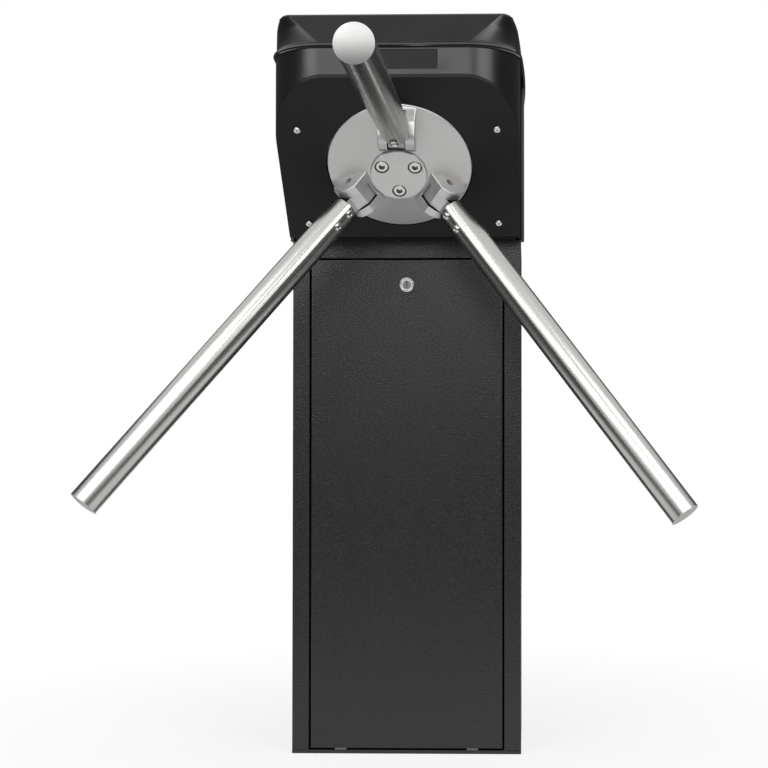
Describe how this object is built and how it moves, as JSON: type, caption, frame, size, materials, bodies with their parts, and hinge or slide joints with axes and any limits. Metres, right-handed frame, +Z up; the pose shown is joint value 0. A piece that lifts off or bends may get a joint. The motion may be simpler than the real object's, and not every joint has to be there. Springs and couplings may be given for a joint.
{
  "type": "tripod turnstile",
  "caption": "Floor-standing access turnstile: a black sheet-metal pillar with a moulded head whose sloped face carries a turning tripod of fold-down steel arms.",
  "frame": {"origin": "on the floor, in the middle of the four anchor bolts of the base plate", "axes": "+Z up, -Y towards the passage, where the arms reach out, +X to the right of someone who faces the door"},
  "size_m": [0.7661, 0.9409, 0.983],
  "materials": {
    "pillar_coat": "fine textured black powder coat",
    "head_shell": "smooth semi-gloss black",
    "head_panel": "smooth satin black",
    "badge": "satin black",
    "cast_alloy": "satin silver",
    "arm_steel": "polished with a fine long brush",
    "end_cap": "satin",
    "screw_steel": "bright",
    "machine_steel": "plain machined",
    "bearing_block": "as cast",
    "damper_case": "machined",
    "coil_case": "black",
    "lock_chrome": "polished",
    "board": "green lacquer",
    "supply_case": "plain",
    "battery_case": "dark grey"
  },
  "bodies": {
    "frame": {"base_plate": "pillar_coat", "pillar_shell": "pillar_coat", "head_floor": "machine_steel", "front_shell": "head_shell", "rear_shell": "head_shell", "front_panel": "head_panel", "panel_screw_1": "screw_steel", "panel_screw_2": "screw_steel", "panel_screw_3": "screw_steel", "panel_screw_4": "screw_steel", "badge_plate": "badge", "mech_frame": "machine_steel", "bearing_housing": "bearing_block", "bearing_front": "machine_steel", "bearing_rear": "machine_steel", "damper_body": "damper_case", "solenoid_left": "coil_case", "solenoid_right": "coil_case", "control_board": "board", "power_supply": "supply_case", "battery": "battery_case", "lid_hinge_base": "machine_steel", "door_tab_left": "pillar_coat", "door_tab_right": "pillar_coat"},
    "hub": {"hub_casting": "cast_alloy", "hub_cap": "cast_alloy", "cap_screw_1": "screw_steel", "cap_screw_2": "screw_steel", "cap_screw_3": "screw_steel", "hub_shaft": "machine_steel", "lock_disc": "machine_steel", "main_gear": "machine_steel", "shaft_nut": "machine_steel", "arm_pin_1": "machine_steel", "arm_pin_2": "machine_steel", "arm_pin_3": "machine_steel"},
    "arm_1": {"arm_lug_1": "cast_alloy", "arm_tube_1": "arm_steel", "arm_end_cap_1": "end_cap", "arm_screws_1": "screw_steel"},
    "arm_2": {"arm_lug_2": "cast_alloy", "arm_tube_2": "arm_steel", "arm_end_cap_2": "end_cap", "arm_screws_2": "screw_steel"},
    "arm_3": {"arm_lug_3": "cast_alloy", "arm_tube_3": "arm_steel", "arm_end_cap_3": "end_cap", "arm_screws_3": "screw_steel"},
    "door": {"door_panel": "pillar_coat", "lock_barrel": "lock_chrome"},
    "lock": {"lock_plug": "lock_chrome", "lock_cam": "lock_chrome"},
    "lid": {"lid_shell": "head_shell", "lid_hinge_leaf": "machine_steel"},
    "pawl_left": {"pawl_left": "machine_steel"},
    "plunger_left": {"plunger_left": "machine_steel"},
    "pawl_right": {"pawl_right": "machine_steel"},
    "plunger_right": {"plunger_right": "machine_steel"},
    "damper_pinion": {"damper_pinion": "machine_steel"}
  },
  "joints": [
    {"name": "hub_spin", "type": "hinge", "parent": "frame", "child": "hub", "pos_m": [0, -0.2247, 0.8006], "axis": [0, -0.7071, -0.7071], "continuous": true},
    {"name": "arm_1_drop", "type": "hinge", "parent": "hub", "child": "arm_1", "pos_m": [0.00166, -0.28306, 0.83216], "axis": [0.9997, 0.0185, -0.0185], "range_deg": [0, 87]},
    {"name": "arm_2_drop", "type": "hinge", "parent": "hub", "child": "arm_2", "pos_m": [-0.05589, -0.21664, 0.76574], "axis": [-0.4772, -0.6214, 0.6214], "range_deg": [0, 45]},
    {"name": "arm_3_drop", "type": "hinge", "parent": "hub", "child": "arm_3", "pos_m": [0.05423, -0.2146, 0.7637], "axis": [-0.5225, 0.6029, -0.6029], "range_deg": [0, 45]},
    {"name": "door_tilt", "type": "hinge", "parent": "frame", "child": "door", "pos_m": [0, -0.11, 0.0075], "axis": [1, 0, 0], "range_deg": [0, 5]},
    {"name": "door_lock", "type": "hinge", "parent": "door", "child": "lock", "pos_m": [0, -0.11, 0.655], "axis": [0, 1, 0], "range_deg": [-90, 0]},
    {"name": "lid_open", "type": "hinge", "parent": "frame", "child": "lid", "pos_m": [0, 0.1138, 0.93325], "axis": [-1, 0, 0], "range_deg": [0, 95]},
    {"name": "pawl_right_swing", "type": "hinge", "parent": "frame", "child": "pawl_right", "pos_m": [0.072, -0.12924, 0.83666], "axis": [0, -0.7071, -0.7071], "range_deg": [0, 8], "stiffness_Nm_per_rad": 0.5, "springref_deg": -11.46},
    {"name": "plunger_right_push", "type": "slide", "parent": "frame", "child": "plunger_right", "axis": [-1, 0, 0], "range_m": [0, 0.0092]},
    {"name": "pawl_left_swing", "type": "hinge", "parent": "frame", "child": "pawl_left", "pos_m": [-0.072, -0.12924, 0.83666], "axis": [0, 0.7071, 0.7071], "range_deg": [0, 8], "stiffness_Nm_per_rad": 0.5, "springref_deg": -11.46},
    {"name": "plunger_left_push", "type": "slide", "parent": "frame", "child": "plunger_left", "axis": [1, 0, 0], "range_m": [0, 0.0092]},
    {"name": "damper_spin", "type": "hinge", "parent": "frame", "child": "damper_pinion", "pos_m": [0, -0.26713, 0.84303], "axis": [0, -0.7071, -0.7071], "continuous": true}
  ],
  "couplings": [
    {"joint": "damper_spin", "follows": "hub_spin", "ratio": -3},
    {"joint": "plunger_right_push", "follows": "pawl_right_swing", "m_per_rad": 0.06446},
    {"joint": "plunger_left_push", "follows": "pawl_left_swing", "m_per_rad": 0.06446}
  ]
}
